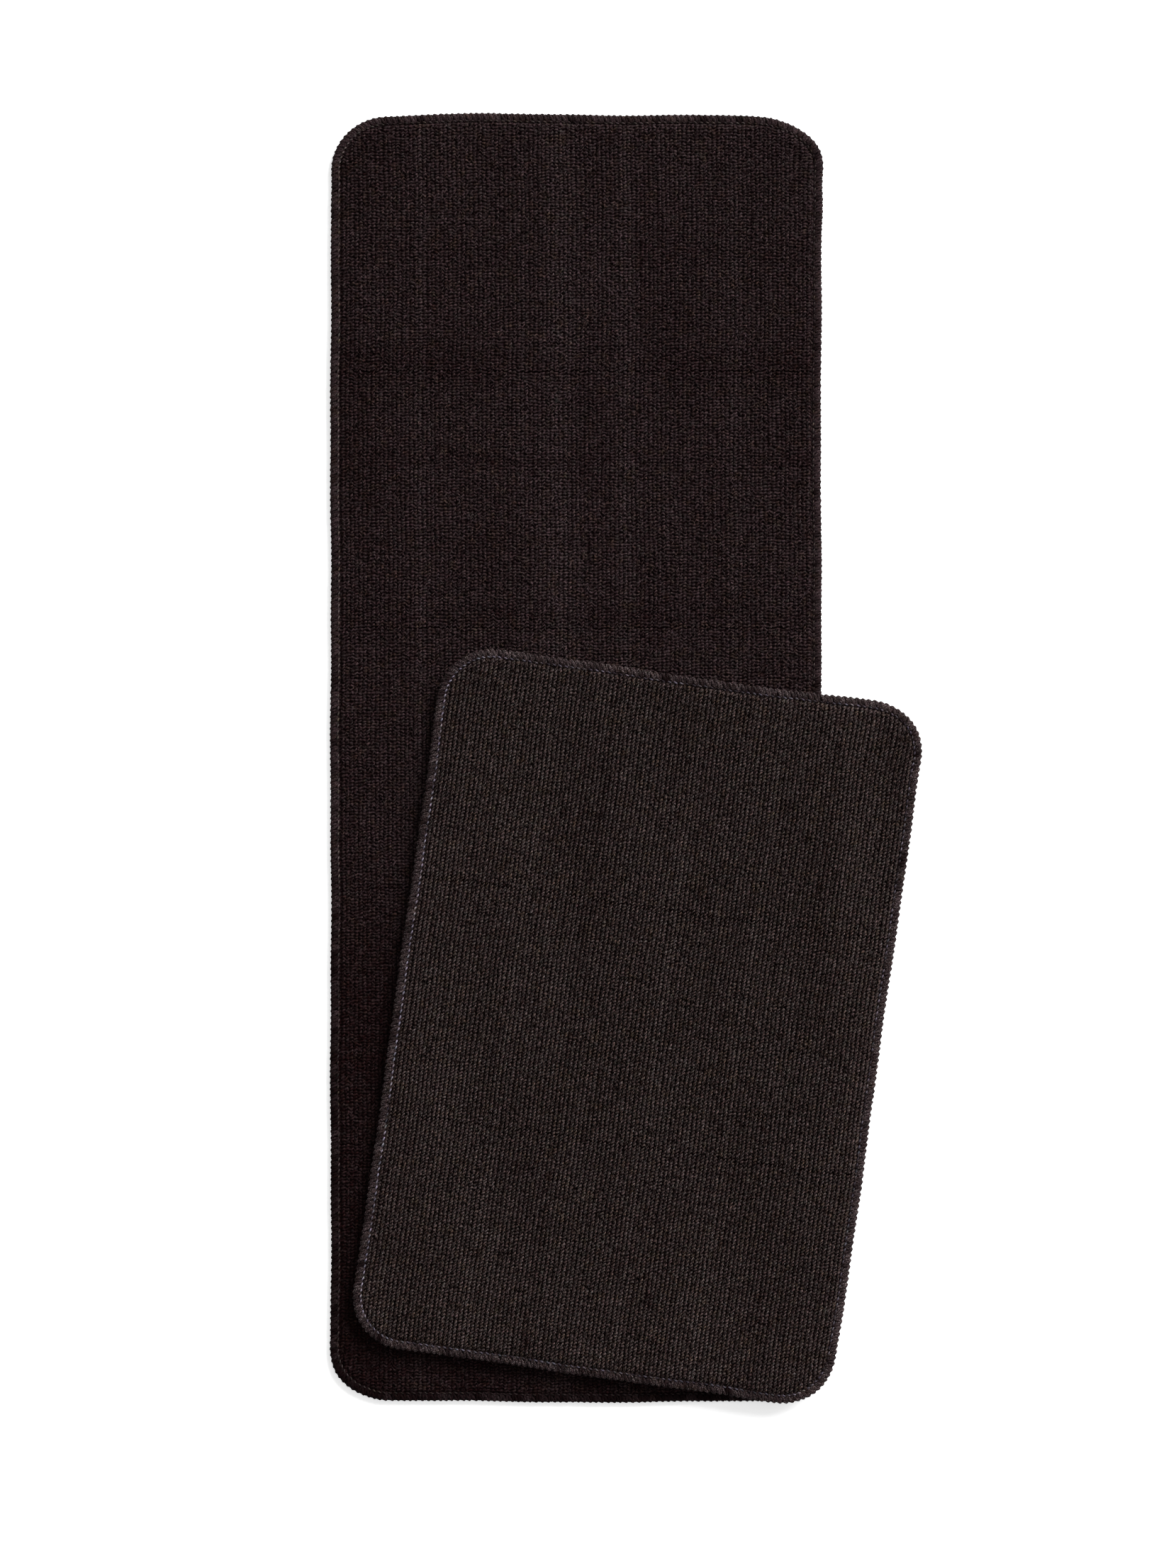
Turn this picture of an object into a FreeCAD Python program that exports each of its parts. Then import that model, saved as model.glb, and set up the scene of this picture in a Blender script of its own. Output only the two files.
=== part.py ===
"""Two tufted loop-pile floor mats with overlocked edges: a long runner lying flat on the floor,
and a smaller mat lying loose on it, turned a little and drooping over one of its long edges.

Frame: millimetres, +Z up, +Y along the runner, origin at the centre of the runner's underside.
Each mat is seven pieces, from the floor up: a rubber backing, a latex coat, a woven primary
backing, a loop pile tufted through it, and the three threads of the overlock stitch that bind
the raw edge: a lower looper yarn, an upper looper yarn and a needle thread.
"""
import FreeCAD, Part
import math
import os
import Sketcher

PARTS_FOLDER = "parts"
MATS = ("runner", "small_mat")

# Driving dimensions, in millimetres and degrees.
SIZES = {
    "runner_length": 1197.0,
    "runner_width": 457.0,
    "runner_corner": 55.0,
    "small_mat_length": 657.0,
    "small_mat_width": 454.0,
    "small_mat_corner": 50.0,
    "small_mat_shift_x": 57.3,
    "small_mat_shift_y": -248.8,
    "small_mat_turn": -8.0,
    "mat_clearance": 0.3,
    "drape_run": 80.0,
    "rubber_thickness": 1.5,
    "latex_thickness": 0.6,
    "scrim_thickness": 0.4,
    "pile_height": 4.5,
    "pressed_pile": 1.6,
    "border_width": 8.0,
    "yarn_over": 1.3,
    "yarn_wrap": 1.0,
    "yarn_under": 0.7,
    "needle_width": 0.9,
    "needle_height": 1.0,
    "pile_round": 1.2,
    "yarn_round": 0.8,
}

# Heights above a mat's own underside, each one built on the level below it.
LEVELS = {"underside": "0", "under_yarn_top": "sizes.yarn_under", "rubber_top": "sizes.rubber_thickness"}
LEVELS["latex_top"] = LEVELS["rubber_top"] + " + sizes.latex_thickness"
LEVELS["scrim_top"] = LEVELS["latex_top"] + " + sizes.scrim_thickness"
LEVELS["pressed_top"] = LEVELS["scrim_top"] + " + sizes.pressed_pile"
LEVELS["pile_top"] = LEVELS["scrim_top"] + " + sizes.pile_height"
LEVELS["needle_top"] = LEVELS["pressed_top"] + " + sizes.needle_height"
LEVELS["yarn_top"] = LEVELS["pressed_top"] + " + sizes.yarn_over"

# Distances inwards from a mat's finished edge.
FINISHED_EDGE = "0"
RAW_EDGE = "sizes.yarn_wrap"
GROOVE_EDGE = "sizes.border_width - sizes.needle_width"
NEEDLE_LINE = "sizes.border_width"

# Each piece is one or two slabs: outer edge, inner edge (None where solid), low and high level.
PIECES = {
    "rubber_backing": [(NEEDLE_LINE, None, "underside", "under_yarn_top"),
                       (RAW_EDGE, None, "under_yarn_top", "rubber_top")],
    "latex_coat": [(RAW_EDGE, None, "rubber_top", "latex_top")],
    "primary_backing": [(RAW_EDGE, None, "latex_top", "scrim_top")],
    "loop_pile": [(RAW_EDGE, None, "scrim_top", "pressed_top"),
                  (NEEDLE_LINE, None, "pressed_top", "pile_top")],
    "lower_looper_yarn": [(FINISHED_EDGE, NEEDLE_LINE, "underside", "under_yarn_top"),
                          (FINISHED_EDGE, RAW_EDGE, "under_yarn_top", "latex_top")],
    "upper_looper_yarn": [(FINISHED_EDGE, RAW_EDGE, "latex_top", "pressed_top"),
                          (FINISHED_EDGE, GROOVE_EDGE, "pressed_top", "yarn_top")],
    "needle_thread": [(GROOVE_EDGE, NEEDLE_LINE, "pressed_top", "needle_top")],
}

# Edges that are rounded on the flat mat: level, distance inwards, and the radius's name.
ROUNDED = {
    "loop_pile": ("pile_top", NEEDLE_LINE, "sizes.pile_round"),
    "upper_looper_yarn": ("yarn_top", FINISHED_EDGE, "sizes.yarn_round"),
}

document = FreeCAD.newDocument("two_loop_pile_mats")


def make_sheet():
    """Put every driving dimension in a spreadsheet cell with its own alias."""
    sheet = document.addObject("Spreadsheet::Sheet", "sizes")
    for row, (alias, value) in enumerate(SIZES.items(), start=1):
        sheet.set(f"A{row}", alias)
        sheet.set(f"B{row}", str(value))
        sheet.setAlias(f"B{row}", alias)
    document.recompute()
    return sheet


def number(formula):
    """Present value of a formula in the spreadsheet's aliases."""
    return float(sheet.evalExpression(formula))


def span(low, high):
    """Formula for the height from one level to another."""
    return f"({LEVELS[high]}) - ({LEVELS[low]})"


def add_outline(sketch, mat, inset, tag):
    """Draw a mat's rounded outline, moved inwards by inset, centred and fully constrained."""
    formulas = {
        "width": f"sizes.{mat}_width - 2 * ({inset})",
        "length": f"sizes.{mat}_length - 2 * ({inset})",
        "corner": f"sizes.{mat}_corner - ({inset})",
    }
    half_x = number(formulas["width"]) / 2
    half_y = number(formulas["length"]) / 2
    radius = number(formulas["corner"])
    corners = [(1, 1), (-1, 1), (-1, -1), (1, -1)]
    arcs = []
    for turn, (sign_x, sign_y) in enumerate(corners):
        centre = FreeCAD.Vector(sign_x * (half_x - radius), sign_y * (half_y - radius), 0)
        circle = Part.Circle(centre, FreeCAD.Vector(0, 0, 1), radius)
        start = turn * math.pi / 2
        arcs.append(sketch.addGeometry(Part.ArcOfCircle(circle, start, start + math.pi / 2), False))
    sides = []
    for here, following in zip(arcs, arcs[1:] + arcs[:1]):
        line = Part.LineSegment(sketch.Geometry[here].EndPoint, sketch.Geometry[following].StartPoint)
        side = sketch.addGeometry(line, False)
        sketch.addConstraint(Sketcher.Constraint("Tangent", here, 2, side, 1))
        sketch.addConstraint(Sketcher.Constraint("Tangent", side, 2, following, 1))
        sides.append(side)
    top, left, bottom, right = sides
    for side in (top, bottom):
        sketch.addConstraint(Sketcher.Constraint("Horizontal", side))
    for side in (left, right):
        sketch.addConstraint(Sketcher.Constraint("Vertical", side))
    for arc in arcs[1:]:
        sketch.addConstraint(Sketcher.Constraint("Equal", arcs[0], arc))
    sketch.addConstraint(Sketcher.Constraint("Symmetric", arcs[0], 3, arcs[2], 3, -1, 1))
    sized = {
        "width": Sketcher.Constraint("DistanceX", left, 1, right, 1, 2 * half_x),
        "length": Sketcher.Constraint("DistanceY", bottom, 1, top, 1, 2 * half_y),
        "corner": Sketcher.Constraint("Radius", arcs[0], radius),
    }
    for kind, constraint in sized.items():
        place = sketch.addConstraint(constraint)
        sketch.renameConstraint(place, f"{tag}_{kind}")
        sketch.setExpression(f"Constraints.{tag}_{kind}", formulas[kind])


def draw_slab_outline(sketch, mat, outer, inner):
    """Draw one slab's outer outline, and its inner one where the slab is a ring."""
    add_outline(sketch, mat, outer, "outer")
    if inner is not None:
        add_outline(sketch, mat, inner, "inner")


def edges_at(shape, height, half_width, half_length):
    """Names of the shape's edges at one height that run along an outline of the given size."""
    names = []
    for place, edge in enumerate(shape.Edges, start=1):
        box = edge.BoundBox
        level = abs(box.ZMin - height) < 1e-4 and abs(box.ZMax - height) < 1e-4
        reach_x = max(abs(box.XMin), abs(box.XMax))
        reach_y = max(abs(box.YMin), abs(box.YMax))
        if level and (abs(reach_x - half_width) < 1e-4 or abs(reach_y - half_length) < 1e-4):
            names.append(f"Edge{place}")
    return names


def round_edge(body, base, mat, piece):
    """Round one outline edge of a flat piece."""
    level, inset, radius = ROUNDED[piece]
    document.recompute()
    half_width = number(f"sizes.{mat}_width / 2 - ({inset})")
    half_length = number(f"sizes.{mat}_length / 2 - ({inset})")
    names = edges_at(base.Shape, number(LEVELS[level]), half_width, half_length)
    fillet = body.newObject("PartDesign::Fillet", f"{body.Name}_rounding")
    fillet.Base = (base, names)
    fillet.setExpression("Radius", radius)


def make_flat_piece(mat, piece):
    """A piece of the mat that lies flat: a body with one pad for each of its slabs."""
    name = f"{mat}_{piece}"
    body = document.addObject("PartDesign::Body", name)
    ground = next(item for item in body.Origin.OriginFeatures if item.Role == "XY_Plane")
    for place, (outer, inner, low, high) in enumerate(PIECES[piece], start=1):
        sketch = body.newObject("Sketcher::SketchObject", f"{name}_outline_{place}")
        sketch.AttachmentSupport = (ground, [""])
        sketch.MapMode = "FlatFace"
        sketch.setExpression("AttachmentOffset.Base.z", LEVELS[low])
        draw_slab_outline(sketch, mat, outer, inner)
        pad = body.newObject("PartDesign::Pad", f"{name}_slab_{place}")
        pad.Profile = sketch
        pad.setExpression("Length", span(low, high))
    if piece in ROUNDED:
        round_edge(body, pad, mat, piece)
    return body


def drape_face(low, high):
    """Section across the drape between two heights above the mat's underside.

    The underside runs level, bends down over the runner's edge on one arc, bends back on a
    second arc of the same radius, and runs level again one mat thickness lower. A height adds
    to the first arc's radius and comes off the second's, so that the layers stay parallel.
    """
    run = number("sizes.drape_run")
    drop = number(LEVELS["pile_top"])
    start_x = number("sizes.runner_width / 2 - sizes.border_width")
    reach = number("sizes.small_mat_length + sizes.small_mat_width")
    radius = (run ** 2 + drop ** 2) / (4 * drop)
    bend = math.asin(run / (2 * radius))
    high_centre = FreeCAD.Vector(start_x, 0, -radius)
    low_centre = FreeCAD.Vector(start_x + run, 0, radius - drop)

    def on_arc(centre, arc_radius, angle, side):
        return centre + FreeCAD.Vector(arc_radius * math.sin(angle), 0, side * arc_radius * math.cos(angle))

    def line_of(height):
        first = [on_arc(high_centre, radius + height, angle, 1) for angle in (0, bend / 2, bend)]
        second = [on_arc(low_centre, radius - height, -angle, -1) for angle in (bend, bend / 2, 0)]
        left = FreeCAD.Vector(start_x - reach, 0, height)
        right = FreeCAD.Vector(start_x + reach, 0, height - drop)
        edges = [Part.LineSegment(left, first[0]), Part.Arc(*first), Part.Arc(*second),
                 Part.LineSegment(second[2], right)]
        return [edge.toShape() for edge in edges], left, right

    lower_edges, lower_left, lower_right = line_of(number(LEVELS[low]))
    upper_edges, upper_left, upper_right = line_of(number(LEVELS[high]))
    ends = [Part.LineSegment(lower_left, upper_left).toShape(),
            Part.LineSegment(lower_right, upper_right).toShape()]
    ordered = Part.sortEdges(lower_edges + upper_edges + ends)[0]
    return Part.Face(Part.Wire(ordered))


def small_mat_placement():
    """Where the small mat lies: turned, shifted, and resting just clear of the runner's pile."""
    height = number(f"{LEVELS['pile_top']} + sizes.mat_clearance")
    centre = FreeCAD.Vector(number("sizes.small_mat_shift_x"), number("sizes.small_mat_shift_y"), height)
    return FreeCAD.Placement(centre, FreeCAD.Rotation(FreeCAD.Vector(0, 0, 1), number("sizes.small_mat_turn")))


def make_draped_slab(mat, name, outer, inner, low, high):
    """One slab of the draped mat: its outline's prism where it meets the bent layer."""
    sketch = document.addObject("Sketcher::SketchObject", f"{name}_outline")
    draw_slab_outline(sketch, mat, outer, inner)
    depth = LEVELS["pile_top"]
    sketch.setExpression("Placement.Base.z", f"-2 * ({depth})")
    prism = document.addObject("Part::Extrusion", f"{name}_prism")
    prism.Base = sketch
    prism.DirMode = "Custom"
    prism.Dir = FreeCAD.Vector(0, 0, 1)
    prism.Solid = True
    prism.setExpression("LengthFwd", f"4 * ({depth})")
    to_mat = small_mat_placement().inverse()
    lift = FreeCAD.Vector(0, 0, small_mat_placement().Base.z)
    half_reach = number("sizes.small_mat_length + sizes.small_mat_width")
    layer = document.addObject("Part::Feature", f"{name}_layer")
    face = drape_face(low, high)
    face.translate(lift + FreeCAD.Vector(0, number("sizes.small_mat_shift_y") - half_reach, 0))
    bent = face.extrude(FreeCAD.Vector(0, 2 * half_reach, 0))
    layer.Shape = bent
    layer.Placement = to_mat
    slab = document.addObject("Part::MultiCommon", f"{name}_slab")
    slab.Shapes = [prism, layer]
    return slab


def make_draped_piece(mat, piece):
    """A piece of the mat that droops over the runner's edge, its slabs joined into one solid."""
    name = f"{mat}_{piece}"
    slabs = []
    for place, (outer, inner, low, high) in enumerate(PIECES[piece], start=1):
        slabs.append(make_draped_slab(mat, f"{name}_{place}", outer, inner, low, high))
    if len(slabs) > 1:
        joined = document.addObject("Part::MultiFuse", name)
        joined.Shapes = slabs
        joined.Refine = True
    else:
        joined = slabs[0]
    joined.Placement = small_mat_placement()
    for axis in "xy":
        joined.setExpression(f"Placement.Base.{axis}", f"sizes.small_mat_shift_{axis}")
    joined.setExpression("Placement.Base.z", f"{LEVELS['pile_top']} + sizes.mat_clearance")
    joined.setExpression("Placement.Rotation.Angle", "sizes.small_mat_turn")
    return joined


def check_document(nodes):
    """Stop if any feature failed, or if a piece isn't one valid closed solid."""
    document.recompute()
    for item in document.Objects:
        failed = [state for state in item.State if state in ("Invalid", "Error")]
        if failed:
            raise RuntimeError(f"{item.Name} failed: {failed}")
    for name, item in nodes.items():
        shape = item.Shape
        if shape.isNull() or not shape.isValid() or len(shape.Solids) != 1:
            raise RuntimeError(f"{name} isn't one valid solid")


def write_parts(nodes):
    """Write one STEP file for each piece, and print its volume and box."""
    os.makedirs(PARTS_FOLDER, exist_ok=True)
    for name, item in nodes.items():
        item.Shape.exportStep(os.path.join(PARTS_FOLDER, f"{name}.step"))
        box = item.Shape.BoundBox
        print(f"{name:28s} {item.Shape.Volume / 1000:9.1f} cm3  "
              f"z {box.ZMin:6.2f} to {box.ZMax:6.2f}  {box.XLength:7.1f} x {box.YLength:7.1f}")


sheet = make_sheet()
makers = {"runner": make_flat_piece, "small_mat": make_draped_piece}
nodes = {}
for mat in MATS:
    for piece in PIECES:
        node = makers[mat](mat, piece)
        node.Label = f"{mat}_{piece}"
        nodes[node.Label] = node
check_document(nodes)
write_parts(nodes)
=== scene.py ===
# %% [markdown]
# # Two loop-pile floor mats, a runner and a smaller one lying loose on it
# The design file fixes the size, the layers and the place of each mat. Here every layer is made
# again as textile: tens of thousands of pile loops, the bulky yarn that binds the edge, the
# needle thread, the woven backing and the embossed rubber. The frame comes first, because the
# heights, widths and places below are read from it.

# %% Load the frame
import math
from types import SimpleNamespace
import bpy
import numpy as np
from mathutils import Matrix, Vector


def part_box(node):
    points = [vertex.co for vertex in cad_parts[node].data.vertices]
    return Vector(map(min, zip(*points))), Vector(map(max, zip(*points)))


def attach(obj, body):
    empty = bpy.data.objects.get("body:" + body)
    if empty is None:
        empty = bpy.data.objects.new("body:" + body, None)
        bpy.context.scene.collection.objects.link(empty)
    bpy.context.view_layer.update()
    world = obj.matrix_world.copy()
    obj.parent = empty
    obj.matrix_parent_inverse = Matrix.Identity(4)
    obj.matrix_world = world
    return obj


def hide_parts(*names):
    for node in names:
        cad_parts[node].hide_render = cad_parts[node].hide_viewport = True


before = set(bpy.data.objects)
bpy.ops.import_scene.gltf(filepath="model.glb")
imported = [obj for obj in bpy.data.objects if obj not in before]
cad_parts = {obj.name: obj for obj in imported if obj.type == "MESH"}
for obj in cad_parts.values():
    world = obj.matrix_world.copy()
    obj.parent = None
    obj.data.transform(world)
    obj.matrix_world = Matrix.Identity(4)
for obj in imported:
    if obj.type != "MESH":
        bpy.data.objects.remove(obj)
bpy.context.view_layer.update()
MM = 0.001

# %% [markdown]
# ## Sizes
# A mat is a stack of layers, so one list of heights above its own underside serves both mats.
# They are the tops of the runner's nodes, because the runner lies flat on the floor. The small
# mat's node boxes give its place, and how far it is lifted by lying on the runner. All the layers
# are cut a little inside the finished rim, which the edge yarn makes, and the needle line runs
# one border width inside it.

# %% Heights of the layers, and the two mats
RUBBER_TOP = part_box("runner_rubber_backing")[1].z
LATEX_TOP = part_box("runner_latex_coat")[1].z
SCRIM_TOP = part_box("runner_primary_backing")[1].z
PRESSED_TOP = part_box("runner_needle_thread")[0].z
PILE_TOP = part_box("runner_loop_pile")[1].z
RAW_EDGE = 1.0 * MM
NEEDLE_LINE = 8.0 * MM
runner_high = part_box("runner_lower_looper_yarn")[1]
small_low, small_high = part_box("small_mat_lower_looper_yarn")
small_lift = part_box("small_mat_rubber_backing")[1].z - RUBBER_TOP

RUNNER = SimpleNamespace(
    name="runner", width=2 * runner_high.x, length=2 * runner_high.y, corner=55 * MM,
    centre=(0.0, 0.0), turn=0.0, lift=0.0, under_phase=0.5, seed=11)
SMALL_MAT = SimpleNamespace(
    name="small_mat", width=454 * MM, length=657 * MM, corner=50 * MM,
    centre=((small_low.x + small_high.x) / 2, (small_low.y + small_high.y) / 2),
    turn=math.radians(-8), lift=small_lift, under_phase=0.0, seed=23)
print("pile top", round(PILE_TOP / MM, 2), "mm; small mat lifted", round(small_lift / MM, 2), "mm")

# %% [markdown]
# ## How a mat lies
# Every piece is first worked out on a perfectly flat mat and then laid. Laying does three things:
# it lets the cut edges wander by less than a millimetre, as sewn edges do, it adds very low
# swells, and for the small mat it turns, lifts and bends the cloth down over the runner's edge.
# A cloth simulation could find that bend, but the design already fixes it as two equal arcs, and
# a formula keeps all the layers exactly parallel. A few corners were also cut or pulled out of
# true, and the list of pulls says where.

# %% Lay points of the flat mat where they belong
DROOP_START = runner_high.x - NEEDLE_LINE
DROOP_RUN = 80 * MM
DROOP_RADIUS = (DROOP_RUN ** 2 + PILE_TOP ** 2) / (4 * PILE_TOP)
WANDER = 0.8 * MM
SWELL = 0.35 * MM
UNCOVERED, UNCOVERED_EASE = 110 * MM, 60 * MM
CURL, CURL_REACH = 2.7 * MM, 90 * MM
CURL_LEFT, CURL_NEAR = -137 * MM, -238 * MM


def smooth(t):
    """Ease from 0 to 1: three t squared minus two t cubed, held outside 0 to 1."""
    t = np.clip(t, 0, 1)
    return t * t * (3 - 2 * t)


def droop(x):
    """Drop of the cloth at world x: an arc down from level, then its mirror image back to level."""
    u = np.clip(x - DROOP_START, 0, DROOP_RUN)
    first = DROOP_RADIUS - np.sqrt(DROOP_RADIUS ** 2 - np.minimum(u, DROOP_RUN / 2) ** 2)
    rest = DROOP_RUN - np.maximum(u, DROOP_RUN / 2)
    second = DROOP_RADIUS - np.sqrt(DROOP_RADIUS ** 2 - rest ** 2)
    return np.where(u < DROOP_RUN / 2, first, PILE_TOP - second)


# Each row: a place on the flat mat, how far it is pulled sideways there, and over what reach (mm).
PULLS = {
    "runner": ((228, 568, 4.4, 0.8, 24), (190, 598, 0, -2.4, 26), (-60, 598, 0, 1.9, 75),
               (-222, -572, -2.0, -1.6, 24), (40, -598, 0, -1.2, 130), (228, 515, 1.2, 0, 20),
               (-180, 596, -1.0, -1.6, 30), (-227, 540, 0.8, 0, 18)),
    "small_mat": ((205, 305, 2.6, 1.6, 30), (165, 328, 0.4, 1.7, 26), (160, -328, 0, -1.3, 30),
                  (222, -285, -0.9, 0, 26)),
}


def lay(mat, x, y, z):
    """Carry points of the flat mat to where they lie, as rows of x, y, z.

    The sideways wander is a sum of two slow sines of the other coordinate, plus the soft pulls,
    each of which falls off as a bell curve. The swell is a product of slow sines, never below
    nothing, and only where no other mat lies on top. The small mat also curls up a little along
    its near and left edges, as cloth that was stored rolled.
    """
    for at_x, at_y, pull_x, pull_y, reach in PULLS[mat.name]:
        bell = np.exp(-((x / MM - at_x) ** 2 + (y / MM - at_y) ** 2) / reach ** 2)
        x, y = x + pull_x * MM * bell, y + pull_y * MM * bell
    wander_x = 0.5 * np.sin(y / 0.047 + mat.seed) + 0.3 * np.sin(y / 0.0173 + 2 * mat.seed)
    wander_y = 0.6 * np.sin(x / 0.041 + mat.seed) + 0.3 * np.sin(x / 0.0151 + 3 * mat.seed)
    waves = np.sin(y / 0.052 + 0.8 * np.sin(x / 0.09) + mat.seed) * np.cos(x / 0.11 + mat.seed)
    free = 1.0 if mat is SMALL_MAT else smooth((y - UNCOVERED) / UNCOVERED_EASE)
    swell = SWELL * (1 + waves) * free
    if mat is SMALL_MAT:
        left, near = smooth((CURL_LEFT - x) / CURL_REACH), smooth((CURL_NEAR - y) / CURL_REACH)
        swell = swell + CURL * np.hypot(left, near)
    x, y = x + WANDER * wander_x, y + WANDER * wander_y
    c, s = math.cos(mat.turn), math.sin(mat.turn)
    world_x = mat.centre[0] + c * x - s * y
    world_y = mat.centre[1] + s * x + c * y
    fall = droop(world_x) if mat is SMALL_MAT else 0.0
    return np.stack([world_x, world_y, z + mat.lift + swell - fall], axis=-1).reshape(-1, 3)


print("radius of the bend over the runner's edge:", round(DROOP_RADIUS / MM), "mm")


# %% [markdown]
# ## The outline
# Both mats are rounded rectangles. Two tools cover every use of that shape: the distance that a
# point lies inside it, for cutting the pile to shape, and a walk along it, for the sewn edge.

# %% Inside the outline, and along it
def inside_by(mat, x, y, inset):
    """Distance inside the outline moved in by inset, positive inside: that of a rounded box."""
    over_x = np.abs(x) - (mat.width / 2 - mat.corner)
    over_y = np.abs(y) - (mat.length / 2 - mat.corner)
    past = np.hypot(np.maximum(over_x, 0), np.maximum(over_y, 0))
    return mat.corner - inset - past - np.minimum(np.maximum(over_x, over_y), 0)


def pull_inside(mat, x, y, inset):
    """Move points that lie outside straight back to the outline moved in by inset."""
    half_x, half_y = mat.width / 2 - mat.corner, mat.length / 2 - mat.corner
    over_x, over_y = np.maximum(np.abs(x) - half_x, 0), np.maximum(np.abs(y) - half_y, 0)
    past = np.maximum(np.hypot(over_x, over_y), 1e-9)
    keep = np.minimum(1, (mat.corner - inset) / past)
    new_x = np.sign(x) * (np.minimum(np.abs(x), half_x) + over_x * keep)
    new_y = np.sign(y) * (np.minimum(np.abs(y), half_y) + over_y * keep)
    return new_x, new_y


def walk_outline(mat, distance):
    """Place and outward direction at distances along the outline, anticlockwise.

    Each corner is a quarter circle about its own centre, and interpolating from the end of one
    to the start of the next gives the straight sides.
    """
    steps = 33
    angle = (np.linspace(0, np.pi / 2, steps) + np.arange(4)[:, None] * np.pi / 2).ravel()
    outward = np.stack([np.cos(angle), np.sin(angle)], axis=1)
    centres = np.array([[1, 1], [-1, 1], [-1, -1], [1, -1]]).repeat(steps, axis=0)
    centres = centres * [mat.width / 2 - mat.corner, mat.length / 2 - mat.corner]
    table = np.hstack([centres + mat.corner * outward, outward])
    table = np.vstack([table, table[:1]])
    run = np.concatenate([[0], np.cumsum(np.linalg.norm(np.diff(table[:, :2], axis=0), axis=1))])
    found = np.stack([np.interp(distance % run[-1], run, column) for column in table.T], axis=1)
    place, outward = found[:, :2], found[:, 2:]
    return place, outward / np.linalg.norm(outward, axis=1, keepdims=True)


def perimeter(mat):
    """Length of the outline: four straight sides and one full circle of the corner radius."""
    return 2 * (mat.width + mat.length) - (8 - 2 * np.pi) * mat.corner


for mat in (RUNNER, SMALL_MAT):
    print(mat.name, "perimeter", round(perimeter(mat), 3), "m")


# %% [markdown]
# ## Putting arrays into a mesh
# The faces come as whole arrays, one row of corner numbers per face, so that nothing loops over
# vertices. Walls and hidden sides are shaded flat, which keeps the rows of loops at the seam
# between two pieces shaded like all the others.

# %% Mesh, attribute and object helpers
def make_mesh(name, points, faces, flat_faces=()):
    """A mesh from rows of points and face arrays. flat_faces are shaded flat, the rest smooth."""
    groups = [*faces, *flat_faces]
    corners = np.concatenate([group.ravel() for group in groups]).astype(np.int32)
    sizes = np.concatenate([np.full(len(group), group.shape[1]) for group in groups])
    starts = np.concatenate([[0], np.cumsum(sizes)[:-1]]).astype(np.int32)
    shaded = np.zeros(len(sizes), bool)
    shaded[:sum(len(group) for group in faces)] = True
    mesh = bpy.data.meshes.new(name)
    mesh.vertices.add(len(points))
    mesh.vertices.foreach_set("co", np.asarray(points, np.float32).ravel())
    mesh.loops.add(len(corners))
    mesh.loops.foreach_set("vertex_index", corners)
    mesh.polygons.add(len(sizes))
    mesh.polygons.foreach_set("loop_start", starts)
    mesh.polygons.foreach_set("use_smooth", shaded)
    mesh.update(calc_edges=True)
    mesh.validate()
    return mesh


def add_values(mesh, name, values):
    """Store one number for each vertex, for a material to read."""
    mesh.attributes.new(name, "FLOAT", "POINT").data.foreach_set("value", values.astype(np.float32))


def add_piece(mat, name, mesh, material, cad_node):
    """Make the object, give it its finish, tie it to its mat's body, and hide the CAD node it stands
    for.
    """
    piece = bpy.data.objects.new(f"{mat.name}_{name}", mesh)
    mesh.name = piece.name
    bpy.context.scene.collection.objects.link(piece)
    mesh.materials.append(material)
    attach(piece, mat.name)
    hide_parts(f"{mat.name}_{cad_node}")
    print(piece.name, len(mesh.loops) - 2 * len(mesh.polygons), "triangles")
    return piece


# %% [markdown]
# ## Closing a sheet of loops into a solid
# A tufted surface is a grid of heights. To be a real layer it needs a bottom and four sides.
# Repeating the whole grid below would double the triangles, so the bottom is a much coarser grid,
# just fine enough to bend where the mat bends. Each face of a side joins one coarse step to all
# the fine ones above it. Turned over, the same function makes the rubber, whose pattern faces the
# floor.

# %% Close a grid of heights
def coarse_steps(length, step):
    """Every step-th place of a line of places, and always its last one."""
    return np.unique(np.append(np.arange(0, length, step), length - 1))


def wall(fine, coarse, picks):
    """Faces between a fine edge and the coarse edge under it, one polygon per coarse step."""
    return [np.concatenate([coarse[[at, at + 1]], fine[start:stop + 1][::-1]])[None]
            for at, (start, stop) in enumerate(zip(picks[:-1], picks[1:]))]


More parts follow.
